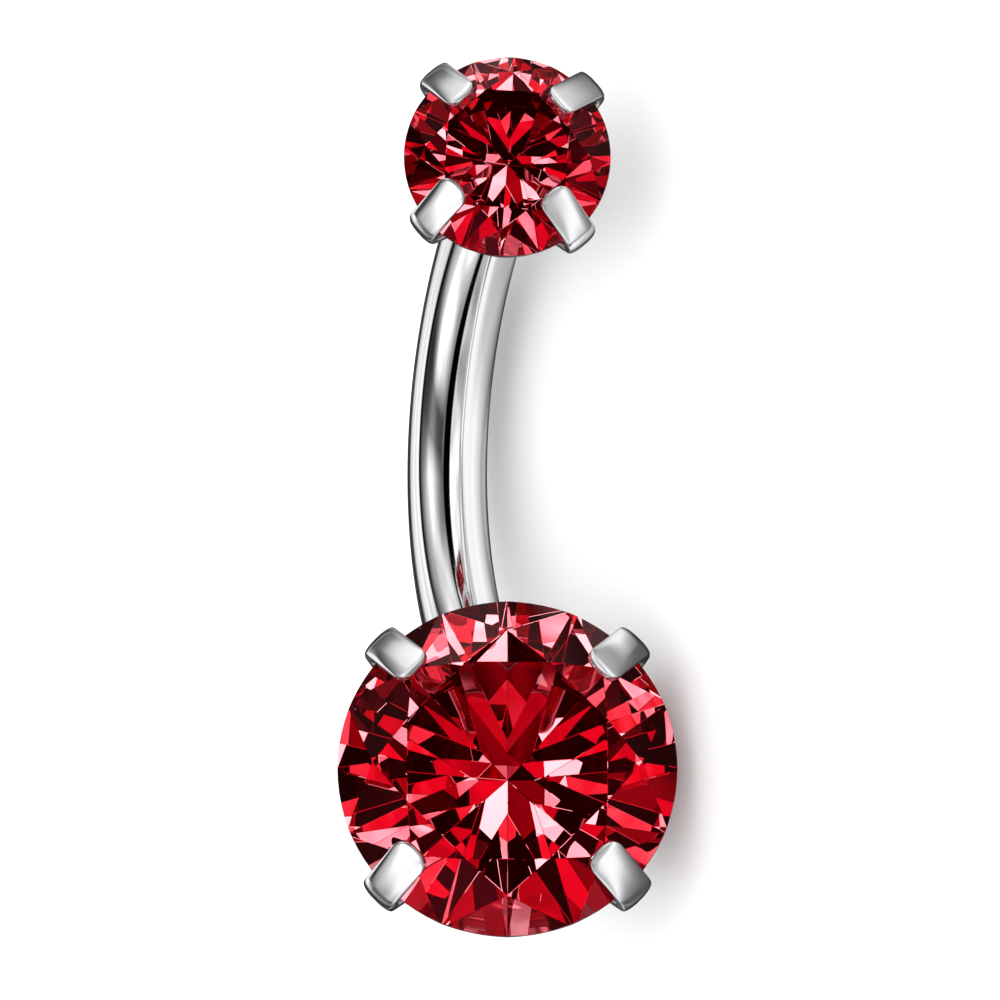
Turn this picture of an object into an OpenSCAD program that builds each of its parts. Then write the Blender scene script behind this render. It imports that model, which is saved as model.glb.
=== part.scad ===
// Navel ring: a curved barbell with a round brilliant in a four-claw head at each end.
// The large head is soldered to the bar. The small head screws onto a post at the bar's upper end.
// The piece is drawn as it is worn and then laid on its side, where it comes to rest.

/* [Bar] */
// Diameter of the bar
bar_d = 1.6; // [1.4:0.1:1.8]
// Radius of the bar's bend, along its middle
bend_r = 7; // [6.5:0.25:8]
// Bend above the bar's middle, to the shoulder under the small head
upper_arc = 42; // [38:1:46]
// Bend below the bar's middle, to the end under the large head
lower_arc = 48; // [44:1:52]
// Turn of the bar's plane away from the way the stones face
bar_turn = 24.5; // [15:0.5:30]

/* [Post and boss] */
// Diameter of the post that the small head screws onto
post_d = 1.2; // [1:0.05:1.25]
// Length of the post
post_l = 1.5; // [1.2:0.05:1.7]
// Play round the post in its socket
socket_play = 0.05; // [0.03:0.01:0.08]
// Spare depth of the socket past the post
socket_spare = 0.12; // [0.05:0.01:0.2]
// Gap between the bar's shoulder and the boss
shoulder_gap = 0.03; // [0.02:0.01:0.06]
// Diameter of the round boss behind the small head
boss_d = 2.5; // [2.3:0.05:2.8]
// Distance from the shoulder to the middle of the boss
boss_rise = 0.95; // [0.85:0.05:1]

/* [Cut of the stones] */
// Width of the table across its flats, as a share of the stone's diameter
table_share = 0.585; // [0.53:0.005:0.62]
// Angle of the crown's main facets
crown_angle = 34.5; // [32:0.5:36]
// Angle of the pavilion's main facets
pavilion_angle = 40.5; // [39:0.5:42]
// Where the star facets end, as a share of the stone's radius
star_share = 0.79; // [0.74:0.01:0.83]
// Where the lower halves end, as a share of the stone's radius
halves_share = 0.22; // [0.15:0.01:0.3]
// Knife edge before the girdle is ground round, as a share of the stone's radius
knife_share = 1.03; // [1.025:0.005:1.04]

/* [Large head] */
// Diameter of the large stone
large_d = 6.5; // [6:0.25:7]
// How far the head stands to the side of the bar's lower end
large_side = 0.24; // [0:0.02:0.5]
// How far the head hangs below the bar's lower end
large_drop = 1.58; // [1.3:0.02:1.7]
// How far the collet's rim stands behind the bar's lower end
large_back = 0.57; // [0.4:0.01:0.7]
// Width of a claw
large_claw_w = 0.76; // [0.7:0.02:0.9]
// Thickness of a claw
large_claw_t = 0.36; // [0.32:0.02:0.46]
// Distance from the stone's middle to the tip of a claw
large_tip_r = 2.46; // [2.2:0.02:2.6]
// Distance behind the girdle at which the claws turn in
large_knee = 0.25; // [0.2:0.05:0.45]
// Diameter of the collet at the back
large_collet_d = 2.9; // [2.7:0.1:3.1]
// Diameter of the hole in the collet
large_hole_d = 1.5; // [1.2:0.1:1.7]
// Depth of the collet from front to back
large_collet_l = 0.8; // [0.7:0.05:1]
// How far the stone's point dips into the collet
large_dip = 0.2; // [0.1:0.05:0.3]
// Distance of the gallery ring behind the girdle
large_gallery = 1.6; // [1.4:0.05:1.8]
// Thickness of the gallery ring's wire
large_wire_d = 0.6; // [0.5:0.05:0.7]

/* [Small head] */
// Diameter of the small stone
small_d = 4; // [3.5:0.25:4.5]
// Turn of the small head about its own axis, clockwise from the front
small_turn = 4; // [0:1:10]
// How far the head stands to the side of the boss
small_side = 0.19; // [0:0.01:0.3]
// How far the head stands below the middle of the boss
small_drop = 0.42; // [0:0.02:0.5]
// How deep the boss runs into the back plate
boss_merge = 0.18; // [0.12:0.02:0.3]
// Width of a claw
small_claw_w = 0.66; // [0.56:0.02:0.72]
// Thickness of a claw
small_claw_t = 0.3; // [0.28:0.02:0.4]
// Distance from the stone's middle to the tip of a claw
small_tip_r = 1.26; // [1.1:0.02:1.4]
// Distance behind the girdle at which the claws turn in
small_knee = 0.25; // [0.2:0.05:0.4]
// Diameter of the collet
small_collet_d = 1.9; // [1.8:0.1:2.2]
// Diameter of the hole in the collet
small_hole_d = 0.9; // [0.7:0.1:1.1]
// Depth of the collet in front of the back plate
small_collet_l = 0.35; // [0.3:0.05:0.5]
// Thickness of the back plate
small_plate_t = 0.45; // [0.35:0.05:0.6]
// Gap between the stone's point and the back plate
small_point_gap = 0.1; // [0.05:0.01:0.2]
// Distance of the gallery ring behind the girdle
small_gallery = 0.95; // [0.85:0.05:1.1]
// Thickness of the gallery ring's wire
small_wire_d = 0.4; // [0.3:0.05:0.5]

/* [Fit and lie] */
// Gap between a stone and its claws
stone_gap = 0.02; // [0.01:0.01:0.04]
// Angle by which the stones look up from the floor as the piece lies on its side
lie_roll = 35.2; // [32:0.1:42]
// Angle by which the long way of the piece dips towards the small head
lie_lean = 5.5; // [3:0.1:8]

/* [Hidden] */
$fn = 96;

STEEL = "#c9cacd";
RUBY = "#b00418";
FACETS = 8;
FACET_ANGLE = 180 / FACETS;
CLAW_COUNT = 4;
FOOT_SINK = 0.2;
SECTION_SIDES = 16;
SECTION_POWER = 3.2;
TIP_POWER = 2.6;
BEND_STEPS = 4;
TIP_STEPS = 5;
TIP_SHARE = 0.8;
TIP_TURN = 80;
SHOULDER_SHARE = 0.6;
POST_CHAMFER = 0.12;
REACH_STEP = 3;

large_r = large_d / 2;
small_r = small_d / 2;

// Way from the bar's middle towards the heads, in the bar's own plane
toward_heads = [sin(bar_turn), -cos(bar_turn), 0];

// Centre of the bar at an angle along its bend, and the way it runs there
function bar_point(a) = bend_r * (sin(a) * [0, 0, 1] + (1 - cos(a)) * toward_heads);
function bar_heading(a) = cos(a) * [0, 0, 1] + sin(a) * toward_heads;

// Heights of a brilliant's parts from its girdle plane
function table_corner_r(r) = r * table_share / cos(FACET_ANGLE);
function crown_h(r) = (r * knife_share - table_corner_r(r)) * tan(crown_angle);
function pavilion_h(r) = r * knife_share * tan(pavilion_angle);
function star_z(r) =
    crown_h(r) * r * (knife_share - star_share * cos(FACET_ANGLE))
    / (r * knife_share - table_corner_r(r));
function halves_z(r) = -pavilion_h(r) * (1 - halves_share * cos(FACET_ANGLE) / knife_share);

// Middle of each girdle, as worn
boss_at = bar_point(upper_arc) + boss_rise * bar_heading(upper_arc);
large_end = bar_point(-lower_arc);
large_at = [
    large_end.x + large_side,
    large_end.y + large_back + large_dip - pavilion_h(large_r),
    large_end.z - large_drop
];
small_plate_back = boss_at.y - boss_d / 2 + boss_merge;
small_plate_z = -pavilion_h(small_r) - small_point_gap;
small_at = [
    boss_at.x + small_side,
    small_plate_back - small_plate_t + small_plate_z,
    boss_at.z - small_drop
];

// Stations [r, z, heading] round the corner at b of the line from a by b to c
function bend(a, b, c, r) =
    let (
        in = atan2(b[1] - a[1], b[0] - a[0]),
        out = atan2(c[1] - b[1], c[0] - b[0]),
        start = b - r * tan((out - in) / 2) * [cos(in), sin(in)],
        centre = start + r * [-sin(in), cos(in)]
    )
    [for (i = [0:BEND_STEPS])
        let (h = in + (out - in) * i / BEND_STEPS)
        [centre[0] + r * sin(h), centre[1] - r * cos(h), h]];

// Middle line of a claw in its own half plane: foot, knee, shoulder and tip.
// Over the crown it runs alongside the stone, a gap and half its thickness away.
function claw_corners(r, t, tip_r, knee, foot) =
    let (
        knife = [r * knife_share, 0],
        run = [r * star_share, star_z(r)] - knife,
        along = run / norm(run),
        off = stone_gap + t / 2,
        over = knife + off * [along[1], -along[0]],
        shoulder = over + along * (r + off - over[0]) / along[0],
        tip = over + along * (tip_r - over[0]) / along[0]
    )
    [foot, [r + off, -knee], shoulder, tip];

// Stations [r, z, heading, size] of a claw; its last part closes like a pillow
function claw_stations(corners, t) =
    let (
        cap = t * TIP_SHARE,
        shoulder = corners[2],
        tip = corners[3],
        way = (tip - shoulder) / norm(tip - shoulder),
        heading = atan2(way[1], way[0])
    )
    concat(
        [[corners[0][0], corners[0][1], bend(corners[0], corners[1], shoulder, t)[0][2], 1]],
        [for (s = bend(corners[0], corners[1], shoulder, t)) [s[0], s[1], s[2], 1]],
        [for (s = bend(corners[1], shoulder, tip, t * SHOULDER_SHARE)) [s[0], s[1], s[2], 1]],
        [for (i = [0:TIP_STEPS])
            let (
                f = sin(TIP_TURN * i / TIP_STEPS),
                p = tip - way * cap * (1 - f)
            )
            [p[0], p[1], heading, pow(1 - pow(f, TIP_POWER), 1 / TIP_POWER)]]
    );

// Rounded oblong section, half a unit each way
function soft(v) = sign(v) * pow(abs(v), 2 / SECTION_POWER) / 2;
section = [for (i = [0:SECTION_SIDES - 1])
    let (a = 360 * (i + 0.5) / SECTION_SIDES) [soft(cos(a)), soft(sin(a))]];

// Points of one claw that stands in the half plane of +X
function claw_points(stations, w, t) =
    [for (s = stations, q = section)
        [s[0] + q[0] * t * s[3] * sin(s[2]), q[1] * w * s[3], s[1] - q[0] * t * s[3] * cos(s[2])]];

// Sides of a skin over rings of points, with a flat face at each end
function skin_faces(rings, sides) =
    concat(
        [[for (j = [0:sides - 1]) j]],
        [[for (j = [sides - 1:-1:0]) (rings - 1) * sides + j]],
        [for (i = [0:rings - 2], j = [0:sides - 1])
            [i * sides + j, (i + 1) * sides + j, i * sides + (j + 1) % sides]],
        [for (i = [0:rings - 2], j = [0:sides - 1])
            [i * sides + (j + 1) % sides, (i + 1) * sides + j, (i + 1) * sides + (j + 1) % sides]]
    );

// Corner points and claws of both heads
large_foot = [large_collet_d / 2 - FOOT_SINK, -pavilion_h(large_r) + large_dip - large_collet_l / 2];
small_foot = [small_collet_d / 2 - FOOT_SINK, small_plate_z];
large_line = claw_corners(large_r, large_claw_t, large_tip_r, large_knee, large_foot);
small_line = claw_corners(small_r, small_claw_t, small_tip_r, small_knee, small_foot);
large_stations = claw_stations(large_line, large_claw_t);
small_stations = claw_stations(small_line, small_claw_t);
large_claw = claw_points(large_stations, large_claw_w, large_claw_t);
small_claw = claw_points(small_stations, small_claw_w, small_claw_t);

// Distance from the axis at which a leg's middle line passes a depth behind the girdle
function leg_r(line, depth) =
    line[0][0] + (line[1][0] - line[0][0]) * (-depth - line[0][1]) / (line[1][1] - line[0][1]);

// Azimuth of a claw
function claw_turn(k) = 360 * (k + 0.5) / CLAW_COUNT;

// Place of a head's point as worn: its own Z looks to the front, which is -Y
function worn(at, turn, p) =
    [
        at.x + p.x * cos(turn) - p.y * sin(turn),
        at.y - p.z,
        at.z + p.x * sin(turn) + p.y * cos(turn)
    ];

// Row axes seen from the worn frame, and how far the piece reaches along one
row_x = [-sin(lie_lean), 0, cos(lie_lean)];
row_y = [-sin(lie_roll) * cos(lie_lean), cos(lie_roll), -sin(lie_roll) * sin(lie_lean)];
row_z = [-cos(lie_roll) * cos(lie_lean), -sin(lie_roll), -cos(lie_roll) * sin(lie_lean)];
worn_claws = concat(
    [for (k = [0:CLAW_COUNT - 1], p = large_claw) worn(large_at, claw_turn(k), p)],
    [for (k = [0:CLAW_COUNT - 1], p = small_claw) worn(small_at, claw_turn(k) - small_turn, p)]
);
// Round parts of a head as [radius, distance behind the girdle, half the thickness of the edge]
large_rounds = [
    [large_r, 0, 0],
    [leg_r(large_line, large_gallery), large_gallery, large_wire_d / 2],
    [large_collet_d / 2, pavilion_h(large_r) - large_dip, 0],
    [large_collet_d / 2, pavilion_h(large_r) - large_dip + large_collet_l, 0]
];
small_rounds = [
    [small_r, 0, 0],
    [leg_r(small_line, small_gallery), small_gallery, small_wire_d / 2],
    [small_collet_d / 2, small_plate_t - small_plate_z, 0]
];
function rounds_reach(at, rounds, way) =
    max([for (p = rounds) (at + [0, p[1], 0]) * way + p[0] * norm([way.x, way.z]) + p[2]]);
function reach(way) = max(concat(
    [rounds_reach(large_at, large_rounds, way), rounds_reach(small_at, small_rounds, way)],
    [boss_at * way + boss_d / 2],
    [for (p = worn_claws) p * way],
    [for (a = [-lower_arc:REACH_STEP:upper_arc]) bar_point(a) * way + bar_d / 2]
));
rest_shift = [
    (reach(-row_x) - reach(row_x)) / 2,
    (reach(-row_y) - reach(row_y)) / 2,
    reach(-row_z)
];

// Lays the worn piece on its side on the floor, its long way along X
module lie() {
    translate(rest_shift)
        rotate([-lie_roll, 0, 0])
            rotate([0, 90 + lie_lean, 0])
                children();
}

// Puts a head, drawn about Z with its girdle at the origin, where it is worn
module at_head(at, turn) {
    translate(at)
        rotate([90, 0, 0])
            rotate([0, 0, turn])
                children();
}

// Puts what is drawn along Z on the bar's middle line at an angle along its bend
module at_bar(a) {
    translate(bend_r * toward_heads)
        rotate([0, 0, 90 + bar_turn])
            rotate([90, 0, 0])
                rotate([0, 0, a])
                    translate([bend_r, 0, 0])
                        rotate([-90, 0, 0])
                            children();
}

module bent_bar() {
    translate(bend_r * toward_heads)
        rotate([0, 0, 90 + bar_turn])
            rotate([90, 0, 0])
                rotate([0, 0, -lower_arc])
                    rotate_extrude(angle = lower_arc + upper_arc)
                        translate([bend_r, 0])
                            circle(d = bar_d);
}

module post() {
    at_bar(upper_arc) {
        cylinder(d = post_d, h = post_l - POST_CHAMFER);
        translate([0, 0, post_l - POST_CHAMFER])
            cylinder(d1 = post_d, d2 = post_d - 2 * POST_CHAMFER, h = POST_CHAMFER);
    }
}

module claws(points) {
    for (k = [0:CLAW_COUNT - 1])
        rotate([0, 0, claw_turn(k)])
            polyhedron(
                points = points,
                faces = skin_faces(len(points) / SECTION_SIDES, SECTION_SIDES)
            );
}

module gallery_ring(r, depth, wire) {
    translate([0, 0, -depth])
        rotate_extrude()
            translate([r, 0])
                circle(d = wire);
}

module large_head() {
    claws(large_claw);
    gallery_ring(leg_r(large_line, large_gallery), large_gallery, large_wire_d);
    translate([0, 0, large_dip - pavilion_h(large_r) - large_collet_l])
        difference() {
            cylinder(d = large_collet_d, h = large_collet_l);
            translate([0, 0, -large_collet_l])
                cylinder(d = large_hole_d, h = 3 * large_collet_l);
        }
}

module small_head() {
    claws(small_claw);
    gallery_ring(leg_r(small_line, small_gallery), small_gallery, small_wire_d);
    translate([0, 0, small_plate_z - small_plate_t])
        difference() {
            cylinder(d = small_collet_d, h = small_plate_t + small_collet_l);
            translate([0, 0, small_plate_t])
                cylinder(d = small_hole_d, h = 2 * small_collet_l);
        }
}

// Round brilliant about Z, its girdle ground round on the knife edge between crown and pavilion
module brilliant(r) {
    eighths = [0:FACETS - 1];
    sixteenths = [0:2 * FACETS - 1];
    function at(radius, azimuth, z) = [radius * cos(azimuth), radius * sin(azimuth), z];
    points = concat(
        [for (k = eighths) at(table_corner_r(r), (2 * k + 1) * FACET_ANGLE, crown_h(r))],
        [for (k = eighths) at(r * star_share, 2 * k * FACET_ANGLE, star_z(r))],
        [for (j = sixteenths) at(r * knife_share, j * FACET_ANGLE, 0)],
        [for (k = eighths) at(r * halves_share, 2 * k * FACET_ANGLE, halves_z(r))],
        [[0, 0, -pavilion_h(r)]]
    );
    // Places of the corners in the list of points
    function table(k) = (k + FACETS) % FACETS;
    function star(k) = FACETS + (k + FACETS) % FACETS;
    function knife(j) = 2 * FACETS + (j + 2 * FACETS) % (2 * FACETS);
    function half(k) = 4 * FACETS + (k + FACETS) % FACETS;
    point = 5 * FACETS;
    faces = concat(
        [[for (k = [FACETS - 1:-1:0]) table(k)]],
        [for (k = eighths) [table(k), star(k), table(k - 1)]],
        [for (k = eighths) [star(k + 1), knife(2 * k + 1), star(k), table(k)]],
        [for (k = eighths) [knife(2 * k + 1), knife(2 * k), star(k)]],
        [for (k = eighths) [knife(2 * k), knife(2 * k - 1), star(k)]],
        [for (k = eighths) [half(k + 1), point, half(k), knife(2 * k + 1)]],
        [for (k = eighths) [knife(2 * k), knife(2 * k + 1), half(k)]],
        [for (k = eighths) [knife(2 * k - 1), knife(2 * k), half(k)]]
    );
    intersection() {
        polyhedron(points = points, faces = faces);
        translate([0, 0, -2 * r])
            cylinder(r = r, h = 4 * r);
    }
}

module barbell() {
    color(STEEL)
        lie() {
            bent_bar();
            post();
            at_head(large_at, 0)
                large_head();
        }
}

module small_setting() {
    color(STEEL)
        lie()
            difference() {
                union() {
                    at_bar(upper_arc)
                        translate([0, 0, boss_rise])
                            sphere(d = boss_d);
                    at_head(small_at, -small_turn)
                        small_head();
                }
                at_bar(upper_arc)
                    translate([0, 0, shoulder_gap - boss_d])
                        cylinder(d = boss_d, h = boss_d);
                at_bar(upper_arc)
                    cylinder(d = post_d + 2 * socket_play, h = post_l + socket_spare);
            }
}

module large_stone() {
    color(RUBY)
        lie()
            at_head(large_at, 0)
                brilliant(large_r);
}

module small_stone() {
    color(RUBY)
        lie()
            at_head(small_at, -small_turn)
                brilliant(small_r);
}

barbell();
large_stone();
small_setting();
small_stone();
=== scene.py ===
"""A navel ring: a bent steel bar with a red brilliant in a claw head at each end, and its studio."""

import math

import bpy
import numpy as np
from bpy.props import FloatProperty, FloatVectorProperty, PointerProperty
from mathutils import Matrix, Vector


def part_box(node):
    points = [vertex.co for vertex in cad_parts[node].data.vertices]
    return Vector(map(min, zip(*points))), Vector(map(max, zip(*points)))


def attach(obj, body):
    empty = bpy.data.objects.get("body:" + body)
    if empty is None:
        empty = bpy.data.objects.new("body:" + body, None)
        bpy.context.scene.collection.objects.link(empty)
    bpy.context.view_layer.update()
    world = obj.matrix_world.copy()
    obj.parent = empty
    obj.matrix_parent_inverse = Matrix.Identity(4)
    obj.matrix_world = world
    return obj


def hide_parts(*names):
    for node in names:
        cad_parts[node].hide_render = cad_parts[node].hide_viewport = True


bl_info = {
    "name": "Navel Ring",
    "version": (1, 0, 0),
    "blender": (4, 5, 0),
    "location": "3D View > Sidebar > Navel Ring",
    "description": "Makes a curved barbell navel ring with two red stones, and the studio it lies in",
    "category": "Add Mesh",
}

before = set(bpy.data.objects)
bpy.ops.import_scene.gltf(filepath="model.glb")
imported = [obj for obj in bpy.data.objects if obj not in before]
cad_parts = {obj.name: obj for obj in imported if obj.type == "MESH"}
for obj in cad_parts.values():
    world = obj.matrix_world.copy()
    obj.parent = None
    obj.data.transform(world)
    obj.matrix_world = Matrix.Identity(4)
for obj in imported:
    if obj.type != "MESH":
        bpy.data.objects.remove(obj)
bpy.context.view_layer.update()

MILLIMETRE = 0.001
UP = np.array([0.0, 0.0, 1.0])
FACETS = 8
CUT_FACES = 1 + 7 * FACETS
CLAWS = 4
FOOT_SINK = 0.2 * MILLIMETRE
AXIS_RADIUS = 0.004 * MILLIMETRE
FLOOR_SIDE = 3.0
SENSOR_WIDTH = 36
CLIP_START = 0.01

# Points on the surfaces: along the rim's stretches between facet edges and how closely they are
# told apart, and then along a line, round a section or round an axis
RIM_STEPS = (6, 3, 3)
RIM_DIGITS = 9
RIM_SLACK = 1e-7
CLAW_SIDES = 64
CLAW_BEND_STEPS = 16
CLAW_FACE_STEPS = 16
CLAW_TIP_STEPS = 24
WIRE_SIDES = 48
ROUND_STEPS = 160
EDGE_STEPS = 7
BALL_STEPS = 64
BAR_STEPS = 160
BAR_SIDES = 96

# Shape of a claw: powers of its superellipses, its caps and its shoulder as shares of its width
# and thickness, and how much its face falls off across, along and towards the tip
CLAW_SECTION_POWER = 4.6
CLAW_PLAN_POWER = 2.3
CLAW_PLAN_CAP = 0.42
CLAW_EDGE_CAP = 0.45
CLAW_SHOULDER = 0.85
CLAW_CROWN_ACROSS = 0.34
CLAW_CROWN_ALONG = 0.3
CLAW_TAPER = 0.7
CLAW_LEAST = 0.02

# Shares of the steel's edge: at the boss's lip, at the post's root and at the post's end
LIP_IN = 0.3
LIP_UP = 0.1
ROOT_EDGE = 0.2
POST_EDGE = 2

# Edges of the pieces
SMOOTH_ANGLE = math.radians(50)
FACET_EDGE = 0.012 * MILLIMETRE
FACET_EDGE_ANGLE = math.radians(6)
FACET_WELD = 0.0005 * MILLIMETRE

# A mix node's sockets for its factor and its two colours, and for the colour that it gives
MIX_SOCKETS = (0, 6, 7)
MIX_RESULT = 2

# Steel: clouds of its gloss, its waves, and the roughness of its two finishes
CLOUD_SCALE = 700
CLOUD_DETAIL = 3
CLOUD_RANGE = (0.3, 0.7)
WAVE_SCALE = 900
WAVE_DETAIL = 1
WAVE_HEIGHT = 0.01 * MILLIMETRE
WAVE_STRENGTH = 0.25
MIRROR_GLOSS = (0.03, 0.08)
TUMBLED_GLOSS = (0.1, 0.17)

# Stones: waves of the facets and grain of the girdle
FACET_WAVE_SCALE = 900
FACET_WAVE_HEIGHT = 0.0025 * MILLIMETRE
GRAIN_SCALE = 2000
GRAIN_DETAIL = 2
GIRDLE_DARK = 0.6
GIRDLE_ROUGHNESS = 0.6

# Floor: clouds of its tone and of the painted red glow that a stone sees in place of its lit tone.
# The range of a cloud that is stretched out serves the dome's haze too
SOFT_RANGE = (0.35, 0.65)
FLOOR_DETAIL = 1
FLOOR_TONE_SCALE = 40
FLOOR_TONE = 0.985
FLOOR_RED_GLOW_SCALE = 500
FLOOR_ROUGHNESS = 0.9

# Painted reflection: greys that the floor glows for steel to mirror in place of its lit shading, as
# [millimetres along Y or X, grey]: stripes along X, a bright window in them by X and by Y, and a
# painted shade that crosses them
PAINTED_REFLECTION_STRIPES = (
    (-18, 0.55), (-11, 1.2), (-8, 1.15), (-6.2, 0.6), (-4.8, 0.3), (-3.6, 0.14), (-2, 0.1),
    (-1.2, 0.3), (-0.5, 0.1), (0.3, 1), (1.2, 1.15), (2, 0.75), (2.3, 0.45), (2.6, 0.95),
    (3, 0.35), (3.4, 0.1), (4.4, 0.1), (5.2, 0.8), (6.4, 0.15), (9.5, 0.15), (12, 0.8),
    (16, 0.6), (22, 0.05),
)
PAINTED_REFLECTION_WINDOW_X = ((-2, 0), (0, 1), (6, 1), (8, 0))
PAINTED_REFLECTION_WINDOW_Y = ((-5, 0), (-4, 1), (0, 1), (1, 0))
PAINTED_REFLECTION_WINDOW = (1.1, 1.1, 1.1)
PAINTED_REFLECTION_SHADE = ((2.3, 1), (3.4, 0.62), (5, 0.5), (6.5, 1))

# Greys of the dome for steel, as [degrees about X, grey] or as [direction along X, grey]
DOME_ROUND = (
    (0, 1), (25.5, 1.05), (27, 0), (43.5, 0), (46, 0.2), (58, 0.42), (77, 1.35), (86, 1.3),
    (100, 0.55), (115, 0.12), (118, 0.01), (124.5, 0.01), (126.5, 0.8), (150, 1.1), (168, 0.7),
    (175, 0.15), (180, 0.08),
)
SIDES_ROUND = (
    (0, 1), (25.5, 1.05), (27, 0), (43.5, 0), (46, 0.35), (64, 0.9), (80, 1.5), (92, 1.45),
    (106, 0.75), (122, 0.17), (142, 0.08), (160, 0.4), (175, 0.15), (180, 0.08),
)
SIDES_ALONG = ((-1, 1), (-0.45, 1), (-0.1, 0), (0.5, 0), (0.75, 1), (1, 1))
FLAG_ROUND = ((0, 0), (44, 0), (50, 1), (112, 1), (124, 0), (180, 0))
FLAG_ALONG = (
    (-1, 1), (-0.5, 0.9), (-0.12, 0.95), (0.04, 0.15), (0.2, 0.2), (0.34, 0.9), (0.5, 1), (1, 0.9),
)
SHADE_ROUND = ((0, 1), (25.5, 1), (27, 0), (180, 0))
SHADE_ALONG = ((-1, 0.45), (-0.6, 0.5), (-0.4, 0.62), (-0.16, 1), (1, 1))
CAPS_ALONG = ((-1, 1), (-0.98, 1), (-0.93, 0), (0.95, 0), (0.99, 1), (1, 1))
CAPS = (0.8, 0.8, 0.8)
HAZE_SCALE = 2.2
HAZE_DETAIL = 1

# Colours of the dome for stones, as [level, colour], and the cloud that is added to the level
PATCH_COLOURS = (
    (0, (0.004, 0, 0)),
    (0.28, (0.004, 0, 0)),
    (0.38, (0.035, 0, 0.003)),
    (0.46, (0.1, 0.001, 0.01)),
    (0.56, (0.36, 0.004, 0.035)),
    (0.68, (0.95, 0.02, 0.12)),
    (0.75, (1.1, 0.4, 0.5)),
    (0.84, (1.3, 1.4, 1.4)),
    (0.92, (1.8, 5.2, 4.4)),
    (1, (2.6, 11, 8.2)),
)
PATCH_CLOUD_SCALE = 14
PATCH_CLOUD_DETAIL = 3
PATCH_CLOUD_ROUGHNESS = 0.75

# Grey that the camera sees past the floor
BACKGROUND = 0.95


def length(name, description, millimetres):
    """A length, given in millimetres and kept in metres."""
    return FloatProperty(
        name=name, description=description, default=millimetres * MILLIMETRE, unit="LENGTH"
    )


def angle(name, description, degrees):
    """An angle, given in degrees and kept in radians."""
    return FloatProperty(
        name=name, description=description, default=math.radians(degrees), subtype="ANGLE"
    )


def share(name, description, value):
    """A plain share or strength."""
    return FloatProperty(name=name, description=description, default=value)


def tint(name, description, value):
    """A colour."""
    return FloatVectorProperty(
        name=name, description=description, default=value, subtype="COLOR", size=3, min=0, max=1
    )


def turns(name, description, degrees):
    """Three turns about X, Y and Z, given in degrees and kept in radians."""
    return FloatVectorProperty(
        name=name,
        description=description,
        default=[math.radians(v) for v in degrees],
        subtype="EULER",
    )


class NavelRingBar(bpy.types.PropertyGroup):
    """Sizes of the bent bar, of the post at its upper end and of the boss on that post"""

    diameter: length("Bar", "Diameter of the bar", 1.6)
    bend: length("Bend", "Radius of the bar's bend, along its middle", 7)
    upper_arc: angle("Upper arc", "Bend above the bar's middle, to the shoulder", 42)
    lower_arc: angle("Lower arc", "Bend below the bar's middle, to its end in the large head", 48)
    turn: angle("Turn", "Turn of the bar's plane away from the way the stones face", 24.5)
    post_diameter: length("Post", "Diameter of the post", 1.2)
    post_length: length("Post length", "Length of the post", 1.5)
    play: length("Play", "Play round the post in its socket", 0.05)
    spare: length("Spare depth", "Depth of the socket past the post", 0.12)
    gap: length("Shoulder gap", "Gap between the bar's shoulder and the boss", 0.03)
    boss_diameter: length("Boss", "Diameter of the round boss", 2.5)
    boss_rise: length("Boss rise", "Distance from the shoulder to the middle of the boss", 0.95)
    edge: length("Edge", "Rounding of the bar's and the boss's edges", 0.06)


class NavelRingCut(bpy.types.PropertyGroup):
    """Proportions of both brilliants"""

    table: share("Table", "Width of the table across its flats over the stone's diameter", 0.585)
    crown: angle("Crown angle", "Angle of the crown's main facets", 34.5)
    pavilion: angle("Pavilion angle", "Angle of the pavilion's main facets", 40.5)
    star: share("Stars", "Where the star facets end, over the stone's radius", 0.79)
    halves: share("Lower halves", "Where the lower halves end, over the stone's radius", 0.22)
    knife: share("Knife edge", "Knife edge before the girdle is ground round, over the radius", 1.03)


class NavelRingLargeHead(bpy.types.PropertyGroup):
    """Sizes of the large head, which is soldered to the bar"""

    stone: length("Stone", "Diameter of the large stone", 6.5)
    refraction: share("Refraction", "Refractive index of the large stone", 1.72)
    turn: angle("Turn", "Turn of the head about its own axis, clockwise from the front", 0)
    side: length("Side", "How far the head stands to the side of the bar's end", 0.24)
    drop: length("Drop", "How far the head hangs below the bar's end", 1.58)
    back: length("Back", "How far the collet's rim stands behind the bar's end", 0.57)
    claw_width: length("Claw width", "Width of a claw", 0.76)
    claw_thickness: length("Claw thickness", "Thickness of a claw", 0.36)
    tip: length("Claw tip", "Distance from the stone's middle to the tip of a claw", 2.46)
    knee: length("Claw knee", "Distance behind the girdle at which the claws turn in", 0.25)
    collet: length("Collet", "Diameter of the collet at the back", 2.9)
    hole: length("Hole", "Diameter of the hole in the collet", 1.5)
    collet_depth: length("Collet depth", "Depth of the collet from front to back", 0.8)
    dip: length("Dip", "How far the stone's point dips into the collet", 0.2)
    gallery: length("Gallery", "Distance of the gallery ring behind the girdle", 1.6)
    wire: length("Wire", "Thickness of the gallery ring's wire", 0.6)


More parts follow.
